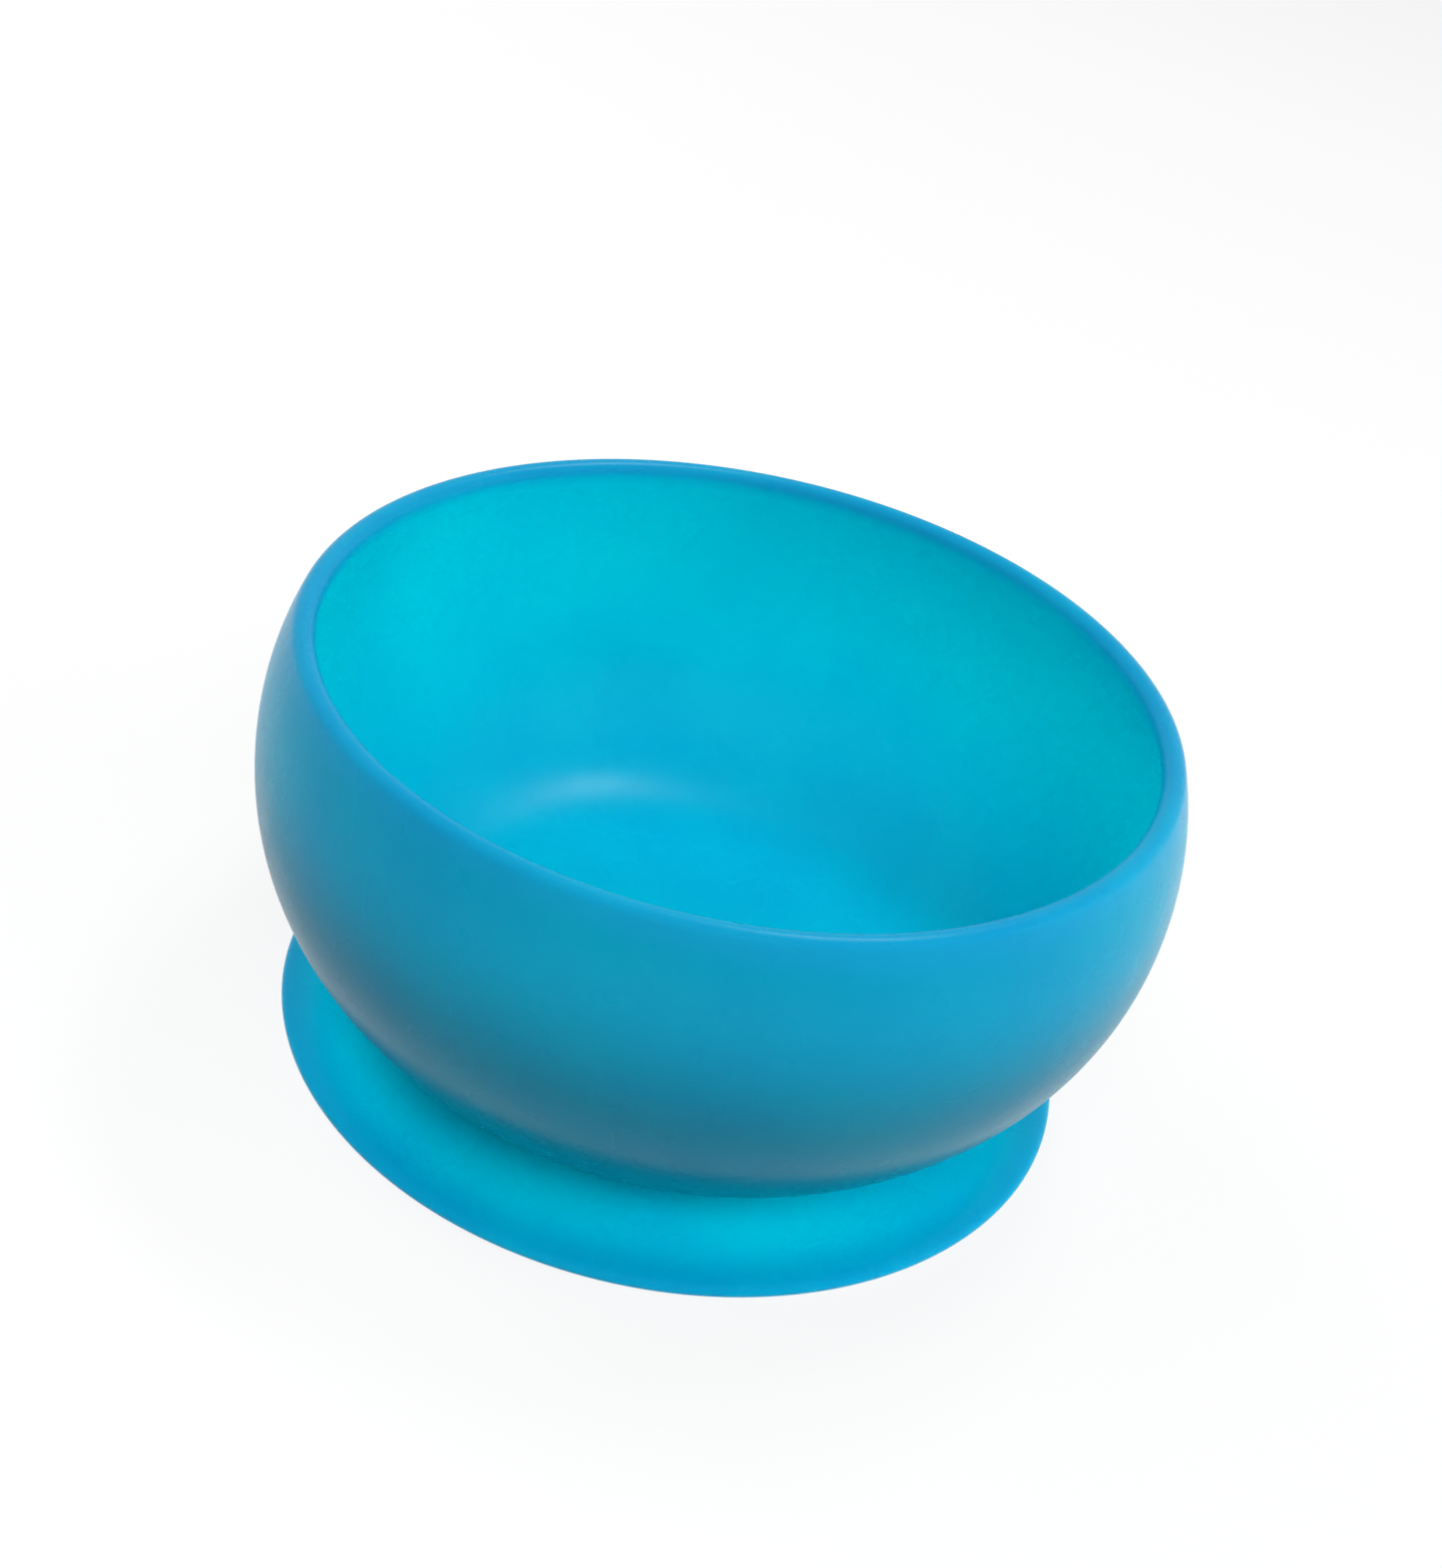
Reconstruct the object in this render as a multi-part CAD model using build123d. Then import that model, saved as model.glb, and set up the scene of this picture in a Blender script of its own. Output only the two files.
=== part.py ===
# Silicone suction bowl for a small child: a round bowl that pushes onto the hub of a suction base.
# Millimetres. +Z is up. The origin is the centre of the base, on the table.
import os
from math import asin, atan, cos, sin, sqrt

from build123d import *

# Bowl
bowl_height = 60.0  # table to the top of the lip
belly_radius = 62.7  # outside, at the widest
belly_height = 42.5  # table to the widest part
foot_radius = 40.4  # outside, where the wall's curve comes down to the foot
upper_wall_radius = 44.4  # section curve of the outside, belly to lip
lower_wall_power = 2.1  # section curve of the outside, belly to foot: 2 is an ellipse, more is fuller
wall = 3.3
floor_thickness = 2.4
blend_height = 7.5  # how far above the floor the inside corner starts to curve
foot_ring_width = 7.0  # the ring under the bowl that grips the hub
foot_edge_height = 0.3  # rounding of the foot's outer edge

# Hub: the thick middle of the base, which carries the bowl
socket_depth = 2.8  # how far the boss reaches up into the bowl
plate_edge_thickness = 1.8  # the hub's plate where the skirt begins
plate_overhang = 2.6  # how far the plate reaches out past the boss
rib_height = 0.3  # round grip rib on the side of the boss
rib_width = 1.0
boss_chamfer = 0.5

# Skirt: the thin flared edge of the base
base_radius = 56.0
dome_height = 4.0  # hollow under the base, at the centre
seal_width = 2.6  # flat ring that seals on the table
edge_inset = 0.6  # the outermost edge to the flat ring
edge_height = 0.8  # table to the outermost edge
shoulder_width = 7.0  # the edge's rounded-over band, seen from above
shoulder_height = 2.9  # table to the top of the skirt where that band starts

# Fits
foot_gap = 0.3  # under the foot ring, so that the bowl sits on the boss
boss_clearance = 0.05  # rib to the wall of the bowl's socket, on the radius
skirt_clearance = 0.05  # hub to skirt, on the radius

# The hollow under the base is one shallow dome, cut from a sphere.
seal_outer = base_radius - edge_inset
seal_inner = seal_outer - seal_width
dome_radius = (seal_inner**2 + dome_height**2) / (2 * dome_height)


def dome_z(r):
    """Height of the hollow's roof at radius r."""
    return dome_height - dome_radius + sqrt(dome_radius**2 - r**2)


# Radii of the fit, from the bowl inwards
socket_radius = foot_radius - foot_ring_width
boss_radius = socket_radius - boss_clearance - rib_height
plate_radius = boss_radius + plate_overhang
skirt_inner = plate_radius + skirt_clearance

# Heights of the stack, from the table up
plate_top = dome_z(plate_radius) + plate_edge_thickness
foot_z = plate_top + foot_gap
boss_top = foot_z + socket_depth
floor_z = boss_top + floor_thickness

# The outside of the bowl below the belly would reach the axis at this depth under the belly.
foot_reach = 1 - (foot_radius / belly_radius) ** lower_wall_power
lower_wall_depth = (belly_height - foot_z) / foot_reach ** (1 / lower_wall_power)


def solid_of_revolution(outline):
    """Spin a closed outline, drawn as radius and height, round the Z axis."""
    return revolve(Plane.XZ * make_face(outline), Axis.Z)


def lower_wall(radius, depth, end_z):
    """Section curve from the belly down to the height end_z, its last point, and its angle there."""
    power = lower_wall_power
    fraction = (belly_height - end_z) / depth
    last = asin(fraction ** (power / 2))
    steps = 10
    points = []
    for i in range(steps + 1):
        turn = last * i / steps
        out = radius * cos(turn) ** (2 / power)
        down = depth * sin(turn) ** (2 / power)
        points.append((out, belly_height - down))
    across = points[-1][0] / radius
    slope = depth / radius * across ** (power - 1) * (1 - across**power) ** (1 / power - 1)
    curve = Spline(*points, tangents=[(0, -1), (-1, -slope)])
    return curve, points[-1], atan(slope)


def lip_and_upper_wall():
    """Outer wall from the belly to the lip, the round lip, and the inner wall back to the belly."""
    middle = upper_wall_radius - wall / 2
    rise = (bowl_height - wall / 2 - belly_height) / middle
    centre = belly_radius - upper_wall_radius
    lean = sqrt(1 - rise**2)

    def wall_end(radius):
        return (centre + radius * lean, belly_height + radius * rise)

    outer_end = wall_end(upper_wall_radius)
    middle_end = wall_end(middle)
    inner_end = wall_end(upper_wall_radius - wall)
    tip = (middle_end[0] - wall / 2 * rise, middle_end[1] + wall / 2 * lean)
    return [
        TangentArc((belly_radius, belly_height), outer_end, tangent=(0, 1)),
        TangentArc(outer_end, tip, tangent=(-rise, lean)),
        TangentArc(inner_end, tip, tangent=(-rise, lean)),
        TangentArc((belly_radius - wall, belly_height), inner_end, tangent=(0, 1)),
    ]


def blend_to_flat(point, angle, flat_z):
    """Arc from a flat at height flat_z up to a point where the wall has that angle, and its start."""
    radius = (point[1] - flat_z) / (1 - cos(angle))
    start = (point[0] - radius * sin(angle), flat_z)
    return TangentArc(start, point, tangent=(1, 0)), start


def make_bowl():
    """Bowl with a round lip, a flat floor, and a ring under it that pushes over the hub's boss."""
    outer, outer_point, outer_angle = lower_wall(belly_radius, lower_wall_depth, foot_z + foot_edge_height)
    foot_edge, foot_point = blend_to_flat(outer_point, outer_angle, foot_z)
    inner, inner_point, inner_angle = lower_wall(
        belly_radius - wall, lower_wall_depth - wall, floor_z + blend_height
    )
    corner, floor_point = blend_to_flat(inner_point, inner_angle, floor_z)
    socket = Polyline(foot_point, (socket_radius, foot_z), (socket_radius, boss_top), (0, boss_top))
    floor = Polyline((0, boss_top), (0, floor_z), floor_point)
    return solid_of_revolution([outer, foot_edge, socket, floor, corner, inner] + lip_and_upper_wall())


def make_hub():
    """Plate over the middle of the hollow, with the boss that the bowl pushes onto."""
    rib_z = (foot_z + boss_top) / 2
    rib_low = (boss_radius, rib_z - rib_width / 2)
    rib_high = (boss_radius, rib_z + rib_width / 2)
    half_radius = plate_radius / 2
    roof_edge = (plate_radius, dome_z(plate_radius))
    chamfer_low = (boss_radius, boss_top - boss_chamfer)
    chamfer_high = (boss_radius - boss_chamfer, boss_top)
    outline = [
        ThreePointArc((0, dome_height), (half_radius, dome_z(half_radius)), roof_edge),
        Polyline(roof_edge, (plate_radius, plate_top), (boss_radius, plate_top), rib_low),
        ThreePointArc(rib_low, (boss_radius + rib_height, rib_z), rib_high),
        Polyline(rib_high, chamfer_low, chamfer_high, (0, boss_top), (0, dome_height)),
    ]
    return solid_of_revolution(outline)


def quarter_round(centre, width, height, start):
    """Quarter of an ellipse, from the start angle on."""
    return EllipticalCenterArc(centre, width, height, start, arc_size=90)


def make_skirt():
    """Flared ring round the hub: a hollow-curved top, a rounded-over edge and a flat sealing ring."""
    shoulder_radius = base_radius - shoulder_width
    middle = (skirt_inner + seal_inner) / 2
    outline = [
        TangentArc((shoulder_radius, shoulder_height), (skirt_inner, plate_top), tangent=(-1, 0)),
        quarter_round((shoulder_radius, edge_height), shoulder_width, shoulder_height - edge_height, 0),
        quarter_round((seal_outer, edge_height), edge_inset, edge_height, 270),
        Line((seal_outer, 0), (seal_inner, 0)),
        ThreePointArc((seal_inner, 0), (middle, dome_z(middle)), (skirt_inner, dome_z(skirt_inner))),
        Line((skirt_inner, dome_z(skirt_inner)), (skirt_inner, plate_top)),
    ]
    return solid_of_revolution(outline)


os.makedirs("parts", exist_ok=True)
export_step(make_bowl(), "parts/bowl.step")
export_step(make_hub(), "parts/base_hub.step")
export_step(make_skirt(), "parts/suction_skirt.step")
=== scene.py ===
from math import asin, atan, cos, degrees, hypot, pi, radians, sin

import bpy
from mathutils import Matrix, Vector


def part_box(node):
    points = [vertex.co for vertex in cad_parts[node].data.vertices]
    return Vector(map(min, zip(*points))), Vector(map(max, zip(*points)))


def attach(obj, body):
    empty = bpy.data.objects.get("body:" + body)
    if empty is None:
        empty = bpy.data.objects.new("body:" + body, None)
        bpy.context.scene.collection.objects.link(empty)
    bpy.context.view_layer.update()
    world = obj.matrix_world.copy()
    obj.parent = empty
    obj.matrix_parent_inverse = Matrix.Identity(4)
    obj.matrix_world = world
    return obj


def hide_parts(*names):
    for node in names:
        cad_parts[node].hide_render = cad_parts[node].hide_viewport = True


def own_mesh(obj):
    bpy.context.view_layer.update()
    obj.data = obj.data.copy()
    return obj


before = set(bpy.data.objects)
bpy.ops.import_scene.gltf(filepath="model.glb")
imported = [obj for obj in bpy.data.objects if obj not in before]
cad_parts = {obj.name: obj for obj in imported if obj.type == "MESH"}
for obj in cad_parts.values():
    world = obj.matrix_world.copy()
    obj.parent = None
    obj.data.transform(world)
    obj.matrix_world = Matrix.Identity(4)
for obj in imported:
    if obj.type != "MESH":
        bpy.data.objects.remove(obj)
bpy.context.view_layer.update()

# Suction skirt: the thin flared edge of the base.
# Silicone, moulded in one shot with the hub. Its top sweeps out in a shallow curve to a rolled-over edge.
# The hollow underneath is a shallow dome that ends in a flat ring, which seals on the table.
edge_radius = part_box("suction_skirt")[1].x
skirt_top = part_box("suction_skirt")[1].z
edge_height = 0.0008
shoulder_radius = edge_radius - 0.007
shoulder_height = 0.0029
seal_outer = edge_radius - 0.0006
seal_inner = seal_outer - 0.0026
seal_corner = 0.0002
hollow_height = 0.004
hollow_radius = (seal_inner**2 + hollow_height**2) / (2 * hollow_height)
hub_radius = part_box("base_hub")[1].x
skirt_inner = hub_radius + 0.00002


def hollow_z(r):
    """Height of the hollow's roof at radius r."""
    return hollow_height - hollow_radius + (hollow_radius**2 - r**2) ** 0.5


def arc(centre, width, height, start, end, steps):
    """Points on an ellipse in the section, as radius and height, from one angle to another in degrees."""
    turns = [radians(start + (end - start) * i / steps) for i in range(steps + 1)]
    return [(centre[0] + width * cos(turn), centre[1] + height * sin(turn)) for turn in turns]


def lathe(name, section):
    """Draws a section point by point, as radius and height, and spins it round Z to a closed piece."""
    bpy.ops.object.select_all(action="DESELECT")
    bpy.ops.mesh.primitive_plane_add(size=0.001, location=(section[0][0], 0, section[0][1]))
    piece = bpy.context.object
    piece.name = name
    piece.data.name = name
    bpy.ops.object.transform_apply(location=True, rotation=True, scale=True)
    bpy.ops.object.mode_set(mode="EDIT")
    bpy.ops.mesh.select_mode(type="VERT")
    bpy.ops.mesh.select_all(action="SELECT")
    bpy.ops.mesh.merge(type="CENTER")
    for (r0, z0), (r1, z1) in zip(section, section[1:]):
        bpy.ops.mesh.extrude_region_move(TRANSFORM_OT_translate={"value": (r1 - r0, 0, z1 - z0)})
    bpy.ops.mesh.select_all(action="SELECT")
    bpy.ops.mesh.spin(steps=192, angle=2 * pi, center=(0, 0, 0), axis=(0, 0, 1))
    bpy.ops.mesh.select_all(action="SELECT")
    bpy.ops.mesh.remove_doubles(threshold=0.000004)
    bpy.ops.mesh.dissolve_degenerate(threshold=0.000001)
    bpy.ops.mesh.normals_make_consistent(inside=False)
    bpy.ops.object.mode_set(mode="OBJECT")
    return piece


def round_edges(piece, rings, width):
    """Bevels the round edges at each of these radii and heights, and shades the piece smooth."""
    bpy.ops.object.select_all(action="DESELECT")
    piece.select_set(True)
    bpy.context.view_layer.objects.active = piece
    bpy.ops.object.mode_set(mode="EDIT")
    bpy.ops.mesh.select_mode(type="EDGE")
    bpy.ops.mesh.select_all(action="DESELECT")
    bpy.ops.object.mode_set(mode="OBJECT")
    points = [(hypot(v.co.x, v.co.y), v.co.z) for v in piece.data.vertices]
    for edge in piece.data.edges:
        ends = [points[i] for i in edge.vertices]
        edge.select = any(
            all(abs(r - ring[0]) + abs(z - ring[1]) < 0.00001 for r, z in ends) for ring in rings
        )
    bpy.ops.object.mode_set(mode="EDIT")
    bpy.ops.mesh.bevel(offset=width, segments=4, affect="EDGES")
    bpy.ops.object.mode_set(mode="OBJECT")
    bpy.ops.object.shade_smooth_by_angle(angle=radians(40))


def linear(hex_colour):
    """Linear RGBA from an sRGB hex colour."""
    parts = [int(hex_colour[i : i + 2], 16) / 255 for i in (1, 3, 5)]
    return [c / 12.92 if c <= 0.04045 else ((c + 0.055) / 1.055) ** 2.4 for c in parts] + [1.0]


def add_node(tree, kind, options=None, values=None, links=None):
    """Adds a shader node, sets its options and its sockets' values, and links sockets into it."""
    node = tree.nodes.new(kind)
    for name, value in (options or {}).items():
        setattr(node, name, value)
    for name, value in (values or {}).items():
        node.inputs[name].default_value = value
    for name, socket in (links or {}).items():
        tree.links.new(socket, node.inputs[name])
    return node


cloud_width = 0.025
gloss_patch_width = 0.009
grain_width = 0.00035
noise_range = {"From Min": 0.3, "From Max": 0.7}
gloss_change = 0.03


def silicone(name, roughness, texture_depth):
    """Pigmented silicone rubber that takes its colour, painted light and shade included, from the piece's
    painted tint.
    """
    material = bpy.data.materials.new(name)
    material.use_nodes = True
    tree = material.node_tree
    place = add_node(tree, "ShaderNodeTexCoord").outputs["Object"]
    # The painted tint holds the pigment colour together with painted light and shade.
    tint_and_painted_light = add_node(tree, "ShaderNodeAttribute", {"attribute_name": "tint_and_painted_light"}).outputs["Color"]
    # Pigment settles in clouds about 25 mm wide, which show as a hardly visible mottle.
    clouds = add_node(
        tree,
        "ShaderNodeTexNoise",
        values={"Scale": 1 / cloud_width, "Detail": 3.0},
        links={"Vector": place},
    )
    hue = add_node(
        tree,
        "ShaderNodeMapRange",
        values=noise_range | {"To Min": 0.495, "To Max": 0.505},
        links={"Value": clouds.outputs["Fac"]},
    )
    depth = add_node(
        tree,
        "ShaderNodeMapRange",
        values=noise_range | {"To Min": 1.02, "To Max": 0.98},
        links={"Value": clouds.outputs["Fac"]},
    )
    colour = add_node(
        tree,
        "ShaderNodeHueSaturation",
        links={"Color": tint_and_painted_light, "Hue": hue.outputs["Result"], "Value": depth.outputs["Result"]},
    )
    # Handling leaves patches about 9 mm wide a little smoother than the rest.
    patches = add_node(
        tree,
        "ShaderNodeTexNoise",
        values={"Scale": 1 / gloss_patch_width, "Detail": 2.0},
        links={"Vector": place},
    )
    gloss = add_node(
        tree,
        "ShaderNodeMapRange",
        values=noise_range | {"To Min": roughness - gloss_change, "To Max": roughness + gloss_change},
        links={"Value": patches.outputs["Fac"]},
    )
    # The matt texture of the mould is 0.1 mm grain, drawn at 0.35 mm so that it can show at all.
    grain = add_node(
        tree,
        "ShaderNodeTexNoise",
        values={"Scale": 1 / grain_width, "Detail": 2.0},
        links={"Vector": place},
    )
    bump = add_node(
        tree,
        "ShaderNodeBump",
        values={"Strength": 0.35, "Distance": texture_depth},
        links={"Height": grain.outputs["Fac"]},
    )
    surface = tree.nodes["Principled BSDF"]
    surface.inputs["IOR"].default_value = 1.41
    surface.inputs["Specular IOR Level"].default_value = 0.11
    surface.inputs["Subsurface Weight"].default_value = 0.5
    surface.inputs["Subsurface Radius"].default_value = (0.2, 0.8, 1.0)
    surface.inputs["Subsurface Scale"].default_value = 0.003
    tree.links.new(colour.outputs["Color"], surface.inputs["Base Color"])
    tree.links.new(gloss.outputs["Result"], surface.inputs["Roughness"])
    tree.links.new(bump.outputs["Normal"], surface.inputs["Normal"])
    return material


def paint(piece, rule):
    """Tints each point, painted light and shade included, by a rule on its radius, its height, and how far it
    faces out from the axis and up.
    """
    tint_and_painted_light = piece.data.attributes.new("tint_and_painted_light", "FLOAT_COLOR", "POINT")
    for vertex, stored in zip(piece.data.vertices, tint_and_painted_light.data):
        x, y, z = vertex.co
        r = hypot(x, y)
        outward = (vertex.normal.x * x + vertex.normal.y * y) / max(r, 0.0001)
        stored.color = rule(r, z, outward, vertex.normal.z)


def ease(low, high, value):
    """0 below low, 1 above high, and a smooth turn between them."""
    t = min(max((value - low) / (high - low), 0), 1)
    return t * t * (3 - 2 * t)


def mix(first, second, share):
    """The colour that lies that share of the way from the first to the second."""
    return [a + (b - a) * share for a, b in zip(first, second)]


# Moulded silicone with a fine matt texture: soft, wide highlights and a faint glow from inside.
matt_silicone = silicone("moulded_matt_silicone", 0.28, 0.00004)
# The sealing side comes from a polished part of the mould, so it grips the table: tight, clear highlights.
polished_silicone = silicone("moulded_polished_silicone", 0.16, 0.000004)
base_colour = linear("#00D0F0")
# Painted shade: the skirt is painted darker and bluer towards its rolled edge, where the surface turns down
# away from the light.
base_edge_painted_shade_colour = linear("#009AC4")
edge_shade_start = 0.048
edge_shade_end = 0.056
sealing_side = -0.7


def finish_base(piece):
    """Matt silicone above, painted darker and bluer towards the rolled edge as shade where it turns down, and
    polished silicone underneath.
    """

    def base_colour_and_edge_shade(r, z, outward, upward):
        return mix(base_colour, base_edge_painted_shade_colour, ease(edge_shade_start, edge_shade_end, r))

    paint(piece, base_colour_and_edge_shade)
    piece.data.materials.append(matt_silicone)
    piece.data.materials.append(polished_silicone)
    for face in piece.data.polygons:
        if face.normal.z < sealing_side:
            face.material_index = 1


sweep_angle = 2 * atan((skirt_top - shoulder_height) / (shoulder_radius - skirt_inner))
sweep_radius = (skirt_top - shoulder_height) / (1 - cos(sweep_angle))
sweep_centre = (shoulder_radius, shoulder_height + sweep_radius)
shoulder_centre = (shoulder_radius, edge_height)
skirt_section = arc(sweep_centre, sweep_radius, sweep_radius, -90 - degrees(sweep_angle), -90, 24)
skirt_section += arc(
    shoulder_centre, edge_radius - shoulder_radius, shoulder_height - edge_height, 90, 0, 24
)[1:]
skirt_section += arc((seal_outer, edge_height), edge_radius - seal_outer, edge_height, 0, -90, 8)[1:]
for i in range(25):
    hollow_r = seal_inner + (skirt_inner - seal_inner) * i / 24
    skirt_section.append((hollow_r, hollow_z(hollow_r)))
skirt_section.append(skirt_section[0])
skirt = lathe("silicone_suction_skirt", skirt_section)
round_edges(skirt, [(seal_inner, 0)], seal_corner)
finish_base(skirt)
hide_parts("suction_skirt")
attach(skirt, "skirt")
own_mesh(skirt)

# Base hub: the thick middle of the base, a plate with a low round boss on it.
# Silicone, moulded in one shot with the skirt.
# The bowl pushes down over the boss, and the round rib on the boss's side grips it.
boss_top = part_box("base_hub")[1].z
foot_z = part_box("bowl")[0].z
plate_top = skirt_top
boss_radius = hub_radius - 0.0026
rib_height = 0.0003
rib_width = 0.001
boss_corner = 0.0005
rib_z = (foot_z + boss_top) / 2
hub_section = []
for i in range(17):
    hollow_r = hub_radius * i / 16
    hub_section.append((hollow_r, hollow_z(hollow_r)))
hub_section += [(hub_radius, plate_top), (boss_radius, plate_top)]
hub_section += arc((boss_radius, rib_z), rib_height, rib_width / 2, -90, 90, 10)
hub_section += [(boss_radius, boss_top), (0, boss_top)]
hub = lathe("silicone_base_hub", hub_section)
round_edges(hub, [(boss_radius, boss_top)], boss_corner)
finish_base(hub)
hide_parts("base_hub")
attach(hub, "hub")

# Bowl: one thick moulding with a full-round lip, sides that curve in above the belly, and a flat floor.
# Pigmented silicone rubber, pressed hot in a two-part mould.
# The shallow socket under its floor takes the boss of the base, so it comes off the base to be washed.
belly_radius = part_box("bowl")[1].x
bowl_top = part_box("bowl")[1].z
belly_z = 0.0425
wall = 0.0033
foot_radius = 0.0404
foot_edge_rise = 0.0003
socket_radius = 0.0334
socket_corner = 0.00025
floor_z = boss_top + 0.0024
corner_rise = 0.0075
upper_wall_radius = 0.0444
wall_power = 2.1
wall_depth = (belly_z - foot_z) / (1 - (foot_radius / belly_radius) ** wall_power) ** (1 / wall_power)


def lower_wall(radius, depth, end_z, steps):
    """The section of the wall from the belly down to end_z, a superellipse, and its steepness there."""
    last = asin(((belly_z - end_z) / depth) ** (wall_power / 2))
    share = 2 / wall_power
    turns = [last * i / steps for i in range(steps + 1)]
    points = [(radius * cos(turn) ** share, belly_z - depth * sin(turn) ** share) for turn in turns]
    across = cos(last) ** share
    slope = depth / radius * across ** (wall_power - 1) * (1 - across**wall_power) ** (1 / wall_power - 1)
    return points, atan(slope)


def blend_to_flat(point, steepness, flat_z, steps):
    """The arc that brings the wall round from a point of that steepness to a flat."""
    radius = (point[1] - flat_z) / (1 - cos(steepness))
    centre = (point[0] - radius * sin(steepness), flat_z + radius)
    return arc(centre, radius, radius, -90 + degrees(steepness), -90, steps)[1:]


middle_radius = upper_wall_radius - wall / 2
inner_radius = upper_wall_radius - wall
wall_centre = (belly_radius - upper_wall_radius, belly_z)
lip_lean = degrees(asin((bowl_top - wall / 2 - belly_z) / middle_radius))
lip_centre = arc(wall_centre, middle_radius, middle_radius, lip_lean, lip_lean, 1)[0]
outside, outside_steepness = lower_wall(belly_radius, wall_depth, foot_z + foot_edge_rise, 32)
foot_corner = blend_to_flat(outside[-1], outside_steepness, foot_z, 4)
inside, inside_steepness = lower_wall(belly_radius - wall, wall_depth - wall, floor_z + corner_rise, 28)
floor_corner = blend_to_flat(inside[-1], inside_steepness, floor_z, 12)
bowl_section = [(0, floor_z), (floor_corner[-1][0] / 2, floor_z)]
bowl_section += floor_corner[::-1]
bowl_section += inside[:0:-1]
bowl_section += arc(wall_centre, inner_radius, inner_radius, 0, lip_lean, 12)[:-1]
bowl_section += arc(lip_centre, wall / 2, wall / 2, lip_lean + 180, lip_lean, 16)
bowl_section += arc(wall_centre, upper_wall_radius, upper_wall_radius, lip_lean, 0, 12)[1:-1]
bowl_section += outside + foot_corner
bowl_section += [(socket_radius, foot_z), (socket_radius, boss_top), (0, boss_top)]
bowl = lathe("silicone_bowl", bowl_section)
round_edges(bowl, [(socket_radius, foot_z)], socket_corner)


# Painted light and shade: the inside is painted paler than the outside, and palest up its sides, to make up
# for the little lamplight that reaches them. The outside is painted darker towards the foot, as the shade
# under the light from above.
inner_floor_colour = linear("#00B3D2")
# Painted light: the upper inside walls are painted paler than the floor.
inner_side_painted_light_colour = linear("#00CAD6")
# Painted reflection: the lip is painted a greyer blue, as the reflection of the lamps above.
lip_painted_reflection_colour = linear("#0C8EB6")
# Painted shade: the outside is painted darker than the inside, and darkest towards the foot.
outer_upper_painted_shade_colour = linear("#008EB0")
outer_lower_painted_shade_colour = linear("#006C85")
side_painted_light_end = 0.045
outer_shade_start = 0.03
outer_shade_end = 0.052
lip_reflection_start = 0.0555
lip_reflection_end = 0.0585
inside_fade_start = 0.057
inside_fade_end = 0.0592


def bowl_tint_and_painted_light(r, z, outward, upward):
    """Painted light and shade: paler inside than outside and darker down the outside, with the lip's painted
    reflection between them.
    """
    inner = mix(inner_floor_colour, inner_side_painted_light_colour, ease(floor_z, side_painted_light_end, z))
    outer = mix(outer_lower_painted_shade_colour, outer_upper_painted_shade_colour, ease(outer_shade_start, outer_shade_end, z))
    outer = mix(outer, lip_painted_reflection_colour, ease(lip_reflection_start, lip_reflection_end, z))
    inner_side = ease(-0.3, 0.3, upward - outward)
    if z > belly_z:
        inner_side = ease(0.5, 0.95, -outward) * (1 - ease(inside_fade_start, inside_fade_end, z))
    return mix(outer, inner, inner_side)


paint(bowl, bowl_tint_and_painted_light)
bowl.data.materials.append(matt_silicone)
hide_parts("bowl")
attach(bowl, "bowl")

# Table: the plain pale sheet that the bowl stands on.
# Seamless photographer's paper, laid flat and far wider than the view.
# It looks white to the camera, and keeps the bowl's soft shadow.
table_size = 12
white_share = 0.82


def seen_directly(tree):
    """1 for what is seen straight, in a reflection or through the object, and 0 for light on things."""
    path = add_node(tree, "ShaderNodeLightPath").outputs
    camera_or_glossy = add_node(
        tree,
        "ShaderNodeMath",
        {"operation": "MAXIMUM"},
        links={0: path["Is Camera Ray"], 1: path["Is Glossy Ray"]},
    )
    any_of_three = add_node(
        tree,
        "ShaderNodeMath",
        {"operation": "MAXIMUM"},
        links={0: camera_or_glossy.outputs[0], 1: path["Is Transmission Ray"]},
    )
    return any_of_three.outputs[0]


bpy.ops.object.select_all(action="DESELECT")
bpy.ops.mesh.primitive_plane_add(size=table_size, location=(0, 0, 0))
table = bpy.context.object
table.name = "table_paper"
paper = bpy.data.materials.new("matt_white_paper")
paper.use_nodes = True
tree = paper.node_tree
tree.nodes.clear()
share = add_node(
    tree,
    "ShaderNodeMath",
    {"operation": "MULTIPLY"},
    values={1: white_share},
    links={0: seen_directly(tree)},
)
fibre = add_node(tree, "ShaderNodeBsdfDiffuse", values={"Color": linear("#E8E8E8")})
white = add_node(tree, "ShaderNodeEmission", values={"Strength": 1.0})
mixed = add_node(
    tree,
    "ShaderNodeMixShader",
    links={0: share.outputs[0], 1: fibre.outputs[0], 2: white.outputs[0]},
)
add_node(tree, "ShaderNodeOutputMaterial", links={"Surface": mixed.outputs[0]})
table.data.materials.append(paper)

# Studio: a dim white room with five large square fill lamps and one smaller key lamp, all of white cloth.
# They face the bowl. A lamp's level is how bright it alone would make a white card that faces it.
# Only the key lamp shows in reflections, where it gives the highlight inside the bowl.
lamp_distance = 0.9
fill_size = 0.5
key_width = 0.15
key_length = 0.35
key_turn = 60
room_level = 0.05


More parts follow.
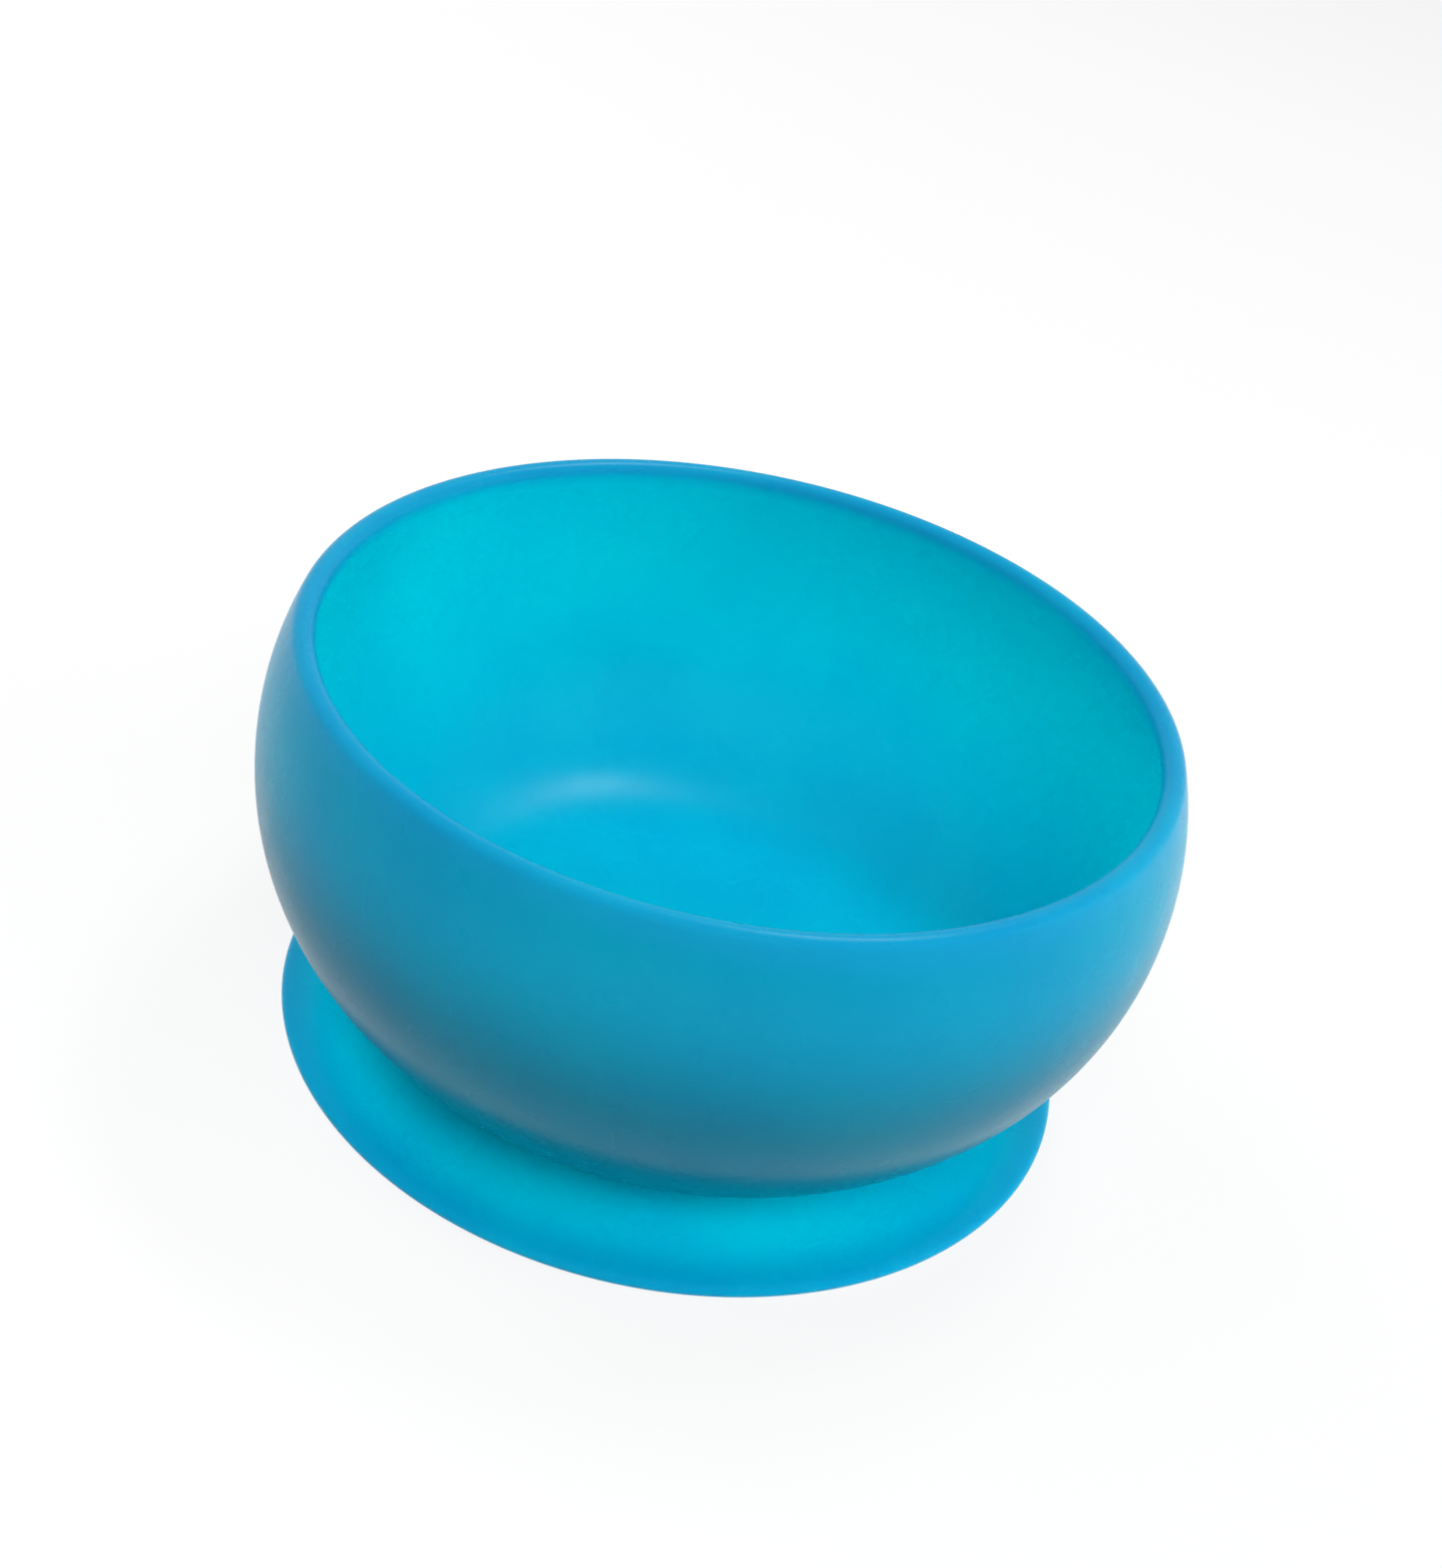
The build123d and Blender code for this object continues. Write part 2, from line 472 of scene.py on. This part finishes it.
def softbox(name, azimuth, elevation, size, level):
    """A square lamp in that direction from the bowl, in degrees from +X and up, left out of reflections."""
    lamp = bpy.data.lights.new(name, "AREA")
    lamp.size = size
    lamp.energy = level * pi**2 * lamp_distance**2
    stand = bpy.data.objects.new(name, lamp)
    around, up = radians(azimuth), radians(elevation)
    towards = Vector((cos(around) * cos(up), sin(around) * cos(up), sin(up)))
    stand.location = towards * lamp_distance
    stand.rotation_euler = towards.to_track_quat("Z", "Y").to_euler()
    stand.visible_glossy = False
    bpy.context.scene.collection.objects.link(stand)
    return stand


softbox("right_fill", 0, 16, fill_size, 0.58)
softbox("front_fill", -88, 40, fill_size, 0.6)
softbox("front_right_fill", -45, 40, fill_size, 0.2)
softbox("back_left_fill", 138, 30, fill_size, 0.5)
softbox("left_fill", 180, 56, fill_size, 0.18)
key = softbox("overhead_key", 58, 68, key_width, 0.37)
key.data.shape = "RECTANGLE"
key.data.size_y = key_length
key.rotation_euler.rotate_axis("Z", radians(key_turn))
key.visible_glossy = True
room = bpy.data.worlds.new("white_room")
room.use_nodes = True
tree = room.node_tree
tree.nodes.clear()
dim = add_node(tree, "ShaderNodeBackground", values={"Strength": room_level})
white = add_node(tree, "ShaderNodeBackground", values={"Strength": 1.0})
mixed = add_node(
    tree,
    "ShaderNodeMixShader",
    links={0: seen_directly(tree), 1: dim.outputs[0], 2: white.outputs[0]},
)
add_node(tree, "ShaderNodeOutputWorld", links={"Surface": mixed.outputs[0]})
bpy.context.scene.world = room

# Camera: a short telephoto, about 36 cm from the bowl and looking down on it, tilted to one side.
# It aims a little above the centre of the base.
camera_distance = 0.3571
camera_elevation = 38.22
aim_above = 5.534
camera_roll = 12.26
camera_side = -0.000125
lens = bpy.data.cameras.new("camera")
lens.lens = 56.18
lens.sensor_width = 36
camera = bpy.data.objects.new("camera", lens)
up = radians(camera_elevation)
camera.location = (camera_side, -camera_distance * cos(up), camera_distance * sin(up))
tip = Matrix.Rotation(radians(90 - camera_elevation + aim_above), 3, "X")
roll = Matrix.Rotation(radians(camera_roll), 3, "Z")
camera.rotation_euler = (tip @ roll).to_euler()
bpy.context.scene.collection.objects.link(camera)
bpy.context.scene.camera = camera
bpy.context.scene.view_settings.view_transform = "Standard"
